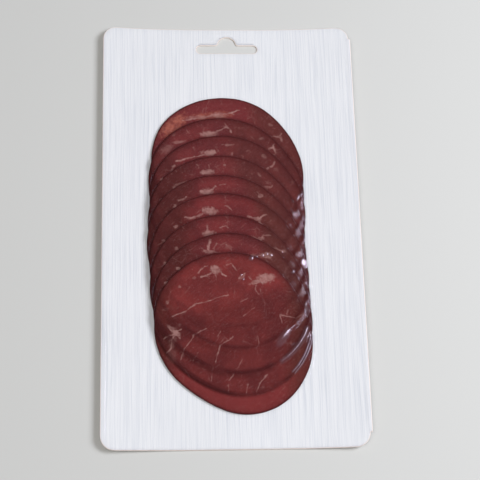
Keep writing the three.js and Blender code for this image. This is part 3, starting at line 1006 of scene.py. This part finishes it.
class BEEF_OT_card(Operator):
    """Make the curled white card with its hang hole"""

    bl_idname = "beef_pack.card"
    bl_label = "Card"

    def execute(self, context):
        card = context.scene.beef_card
        soft, top = card.edge_softness, card.thickness
        profile = (
            (soft, 0.0), (soft * 0.3, soft * 0.3), (0.0, soft),
            (0.0, top - soft * 0.7), (soft * 0.3, top - soft * 0.2), (soft, top),
        )
        points = clear_of_edges(grid_points(CARD_LOW, CARD_HIGH, COARSE_STEP), 1.5 * MM)
        mesh = plate("card_start", profile, points)

        sheet, (flat,) = new_group("Curl the card", ["Geometry"], ["Geometry"])
        x, _, _ = sheet.split(sheet.node("GeometryNodeInputPosition"))
        rise = sheet.group(curl_group(), "Rise", {"X": x})
        tree = close_shape(
            sheet, move(sheet, flat, Offset=sheet.join(0.0, 0.0, rise)),
            (board_material("cut board edge", card.core_colour, 0.15), None),
            (print_material(card), "front"),
            (board_material("plain board back", card.back_colour, 0.4), "back"),
        )
        piece = grow("white_card", mesh, tree, {})
        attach(piece, "root")
        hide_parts("card")
        return {"FINISHED"}


def slice_tree(slices, curl, pile):
    """One slice: a disc bent to the roast's outline and laid on what is below it."""
    sheet, (_, order, centre_x, centre_y, bulge, dent, marks_x, marks_y, card_top, material) = new_group(
        "Lay a slice", ["Geometry", *SLICE_INPUTS], ["Geometry"]
    )
    disc = sheet.node("GeometryNodeMeshCylinder", {"fill_type": "TRIANGLE_FAN"}, {
        "Vertices": slices.spokes, "Side Segments": 1, "Fill Segments": slices.rings,
        "Radius": 1.0, "Depth": 2.0,
    })
    x, y, side = sheet.split(sheet.node("GeometryNodeInputPosition"))
    share = sheet.vector("LENGTH", sheet.join(x, y))
    angle = sheet.maths("ARCTAN2", y, x)
    cosine, sine = sheet.cosine(angle), sheet.maths("SINE", angle)

    # The rings crowd towards the rim, where the slice is rounded
    crowded = 1.0 - (sheet.highest(1.0 - share, 0.0) ** 1.5)
    turn = sheet.join(cosine * 2.5, sine * 2.5, order * 3.7)
    wander = (sheet.noise(turn, 1.0, 4.0, 0.6) - 0.5) * 2.0 * slices.unevenness
    reach = roast_radius(angle, bulge, dent, sheet.cosine) + wander
    inside = reach * (1.0 - crowded)
    place_x = reach * crowded * cosine + centre_x
    place_y = reach * crowded * sine + centre_y

    layers = sheet.group(pile, "Layers", {
        "X": place_x, "Y": place_y, "Below": order - 1.0, "Sag length": slices.sag_length,
    })
    rise = sheet.group(curl, "Rise", {"X": place_x})
    round_share = sheet.maths("MINIMUM", inside / slices.rim_rounding, 1.0)
    dome = sheet.maths("SQRT", 1.0 - (1.0 - round_share) ** 2.0)
    half = (dome * 0.62 + 0.38) * (slices.thickness / 2)
    uneven = sheet.noise(sheet.join(place_x, place_y, order * 0.05), 5 * MM, 2.0) - 0.5
    height = rise + layers * (slices.thickness + slices.gap) + half * side + uneven * slices.swell
    height = height + (slices.thickness / 2 + slices.gap) + card_top
    marked = store(
        sheet, disc, rim_depth=inside / MM, layers_below=layers,
        rims_below=layers.beside("Rims"), contact=layers.beside("Contact"),
        slice_plan=sheet.join((place_x - marks_x) / MM, (place_y - marks_y) / MM, order),
    )
    laid = move(sheet, marked, Position=sheet.join(place_x, place_y, height))
    return close_shape(sheet, laid, (material, None))


class BEEF_OT_slices(Operator):
    """Make the shingled slices of smoked beef"""

    bl_idname = "beef_pack.slices"
    bl_label = "Slices"

    def execute(self, context):
        card, slices, _, _ = settings()
        tree = slice_tree(slices, curl_group(), pile_group())
        rows = zip(SLICE_NODES, slice_places(), MARK_ORIGINS)
        for order, (node, shape, (marks_x, marks_y)) in enumerate(rows, start=1):
            values = (
                float(order), *shape, marks_x * MM, marks_y * MM, card.thickness,
                beef_material(order, slices),
            )
            empty = bpy.data.meshes.new("empty")
            piece = grow(f"beef_slice_{order}", empty, tree, dict(zip(SLICE_INPUTS, values)))
            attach(piece, "root")
            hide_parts(node)
        return {"FINISHED"}


def fold_height(sheet, x, y):
    """Height of the film's puckers and long wrinkles at a place, and how much of a fold it is."""
    spot = sheet.join(x, y)
    swells = []
    for *ellipse, turn, rise in FILM_PUCKERS:
        square = ellipse_square(sheet, spot, *(part * MM for part in ellipse), turn)
        swells.append((sheet.maths("EXPONENT", -square), rise))
    for *bends, rise, half_width in FILM_WRINKLES:
        start, middle, end = ((px * MM, py * MM, 0.0) for px, py in bends)
        curve = sheet.node(
            "GeometryNodeCurveQuadraticBezier", None,
            {"Resolution": 24, "Start": start, "Middle": middle, "End": end},
        )
        path = sheet.node("GeometryNodeCurveToMesh", None, {"Curve": curve})
        distance = sheet.node(
            "GeometryNodeProximity", {"target_element": "EDGES"},
            {0: path, "Sample Position": spot}, "Distance",
        )
        square = (distance / (half_width * MM)) ** 2.0
        swells.append((sheet.maths("EXPONENT", -square), rise))
    height = sum(swell * (rise * MM) for swell, rise in swells)
    return height, sum(swell for swell, _ in swells)


def band(sheet, value, start, full, fading, end):
    """1 from full to fading, going smoothly to 0 at start and end. All four are millimetres."""
    risen = sheet.ramp(value, start * MM, full * MM)
    return risen * sheet.ramp(value, fading * MM, end * MM, 1.0, 0.0)


def film_tree(slices, film, card, curl, pile):
    """The film: a flat plate lifted over the pile of slices."""
    sheet, (flat, material) = new_group("Draw the film", ["Geometry", "Material"], ["Geometry"])
    x, y, _ = sheet.split(sheet.node("GeometryNodeInputPosition"))
    layers = sheet.group(pile, "Layers", {
        "X": x, "Y": y, "Below": float(len(SLICE_NODES)), "Sag length": film.sag_length,
    })
    rise = sheet.group(curl, "Rise", {"X": x})
    flanks = band(sheet, x, 28, 36, 39, 46) + band(sheet, x, -46, -40, -38, -30) * 0.35
    reach = band(sheet, y, -84, -60, 30, 58)
    ripples = sheet.noise(sheet.join(x * 0.6, y), 3.4 * MM, 2.0)
    crease = sheet.highest(1.0 - sheet.maths("ABSOLUTE", ripples * 4.0 - 2.0), 0.0)
    folded, fold = fold_height(sheet, x, y)
    lift = rise + layers * (slices.thickness + slices.gap) + crease * flanks * reach * film.flank_ripple
    lift = lift + folded + (card.thickness + slices.gap)
    marked = store(sheet, flat, film_fold=fold)
    lifted = move(sheet, marked, Offset=sheet.join(0.0, 0.0, lift))
    return close_shape(sheet, lifted, (material, None))


def film_points(film):
    """Points inside the film: fine along the rims and folds and over the pile, coarse elsewhere."""
    places = slice_places()
    turns = np.linspace(0, 2 * math.pi, 480, endpoint=False)
    directions = np.column_stack((np.cos(turns), np.sin(turns)))
    rims = []
    for centre_x, centre_y, bulge, dent in places:
        for offset in np.linspace(0, film.sag_length, 3) + STEP_START:
            reach = roast_radius(turns, bulge, dent, np.cos) + offset
            rims.append(np.array((centre_x, centre_y)) + directions * reach[:, None])
    around = np.vstack(rims)
    low, high = around.min(axis=0) - film.mesh_reach, around.max(axis=0) + film.mesh_reach
    fine = grid_points(low, high, film.mesh_step)
    fine = fine[over_pile(fine, places, film.mesh_reach)]
    coarse = grid_points(CARD_LOW, CARD_HIGH, COARSE_STEP)
    coarse = coarse[~over_pile(coarse, places, film.mesh_reach)]

    spots = [(x, y) for x, y, *_ in FILM_PUCKERS]
    for start, middle, end, *_ in FILM_WRINKLES:
        for t in np.linspace(0, 1, 16):
            shares = ((1 - t) ** 2, 2 * t * (1 - t), t * t)
            spots.append(np.dot(shares, (start, middle, end)))
    spots = np.array(spots) * MM
    fold_reach = film.mesh_step * 3
    folds = grid_points(spots.min(axis=0) - fold_reach, spots.max(axis=0) + fold_reach, film.fold_step)
    folds = folds[near_any(folds, spots, fold_reach)]
    others = np.vstack((*rims, fine, coarse))
    # One point is enough in each small square
    _, first = np.unique(np.floor(others / (film.mesh_step * 0.55)), axis=0, return_index=True)
    others = others[first]
    others = others[~near_any(others, spots, fold_reach)]
    return clear_of_edges(np.vstack((folds, others)), 1.2 * MM)


def over_pile(points, places, reach):
    """Whether each point lies over a slice or within reach of one."""
    over = np.zeros(len(points), bool)
    for centre_x, centre_y, bulge, dent in places:
        offset = points - (centre_x, centre_y)
        angle = np.arctan2(offset[:, 1], offset[:, 0])
        over |= np.hypot(*offset.T) < roast_radius(angle, bulge, dent, np.cos) + reach
    return over


class BEEF_OT_film(Operator):
    """Make the clear film over the slices and the card"""

    bl_idname = "beef_pack.film"
    bl_label = "Film"

    def execute(self, context):
        card, slices, film, _ = settings()
        mesh = plate("film_start", ((0.0, 0.0), (0.3 * MM, film.thickness)), film_points(film))
        tree = film_tree(slices, film, card, curl_group(), pile_group())
        piece = grow("clear_film", mesh, tree, {"Material": film_material(film)})
        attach(piece, "root")
        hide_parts("film")
        return {"FINISHED"}


def add_area_light(name, start, size, watts, tint):
    """A square soft light at a place, turned to the middle of the card."""
    light = bpy.data.lights.new(name, "AREA")
    light.shape = "SQUARE"
    light.size = size
    light.energy = watts
    light.color = tint
    lamp = add_object(name, light)
    lamp.location = start
    lamp.rotation_euler = (-Vector(start)).to_track_quat("-Z", "Y").to_euler()
    return lamp


def aim_camera(stage):
    """The camera at the photo's viewing angle."""
    data = bpy.data.cameras.new("camera")
    data.lens = stage.lens
    data.sensor_width = 36.0
    camera = add_object("camera", data)
    start, target = Vector(stage.camera_place), Vector(stage.camera_target)
    ahead = (target - start).normalized()
    right = ahead.cross(Vector((0.0, 1.0, 0.0))).normalized()
    turn = Matrix((right, right.cross(ahead), -ahead)).transposed().to_4x4()
    camera.matrix_world = Matrix.Translation(start) @ turn @ Matrix.Rotation(stage.camera_roll, 4, "Z")
    bpy.context.scene.camera = camera


class BEEF_OT_stage(Operator):
    """Set up the floor, the lights and the camera"""

    bl_idname = "beef_pack.stage"
    bl_label = "Stage"

    def execute(self, context):
        stage = context.scene.beef_stage
        mesh = bpy.data.meshes.new("floor")
        half = stage.floor_half_width
        corners = [(-half, -half, 0), (half, -half, 0), (half, half, 0), (-half, half, 0)]
        mesh.from_pydata(corners, [], [(0, 1, 2, 3)])
        floor = add_object("floor", mesh)
        material, sheet = new_material("floor")
        show(sheet, principled(sheet, stage.floor_colour, 0.8))
        mesh.materials.append(material)

        world = bpy.data.worlds.new("studio")
        world.use_nodes = True
        background = world.node_tree.nodes["Background"]
        background.inputs["Color"].default_value = (1.0, 0.99, 0.98, 1.0)
        background.inputs["Strength"].default_value = stage.world_strength
        context.scene.world = world
        add_area_light("key", stage.key_place, stage.key_size, stage.key_power, (0.96, 0.985, 1.03))
        fill = add_area_light("fill", stage.fill_place, stage.fill_size, stage.fill_power, (1.02, 1.0, 0.95))
        # Like a crossed pair of polarisers in a studio, which keeps this light's gloss off the film
        fill.visible_glossy = False
        aim_camera(stage)
        context.scene.view_settings.view_transform = "Standard"
        return {"FINISHED"}


OPERATORS = (BEEF_OT_card, BEEF_OT_slices, BEEF_OT_film, BEEF_OT_stage)


class BEEF_PT_panel(Panel):
    """Buttons and settings of the pack."""

    bl_idname = "BEEF_PT_panel"
    bl_label = "Beef Pack"
    bl_space_type = "VIEW_3D"
    bl_region_type = "UI"
    bl_category = "Beef Pack"

    def draw(self, context):
        for operator, group in zip(OPERATORS, settings()):
            box = self.layout.box()
            box.operator(operator.bl_idname)
            for name in group.bl_rna.properties.keys():
                if name not in {"rna_type", "name"}:
                    box.prop(group, name)


SETTINGS = (
    ("beef_card", CardSettings),
    ("beef_slices", SliceSettings),
    ("beef_film", FilmSettings),
    ("beef_stage", StageSettings),
)


def register():
    for name, group in SETTINGS:
        bpy.utils.register_class(group)
        setattr(bpy.types.Scene, name, PointerProperty(type=group))
    for made in (*OPERATORS, BEEF_PT_panel):
        bpy.utils.register_class(made)


def unregister():
    for made in reversed((*OPERATORS, BEEF_PT_panel)):
        bpy.utils.unregister_class(made)
    for name, group in reversed(SETTINGS):
        delattr(bpy.types.Scene, name)
        bpy.utils.unregister_class(group)


def main():
    register()
    bpy.ops.beef_pack.card()
    bpy.ops.beef_pack.slices()
    bpy.ops.beef_pack.film()
    bpy.ops.beef_pack.stage()


if __name__ == "__main__":
    main()
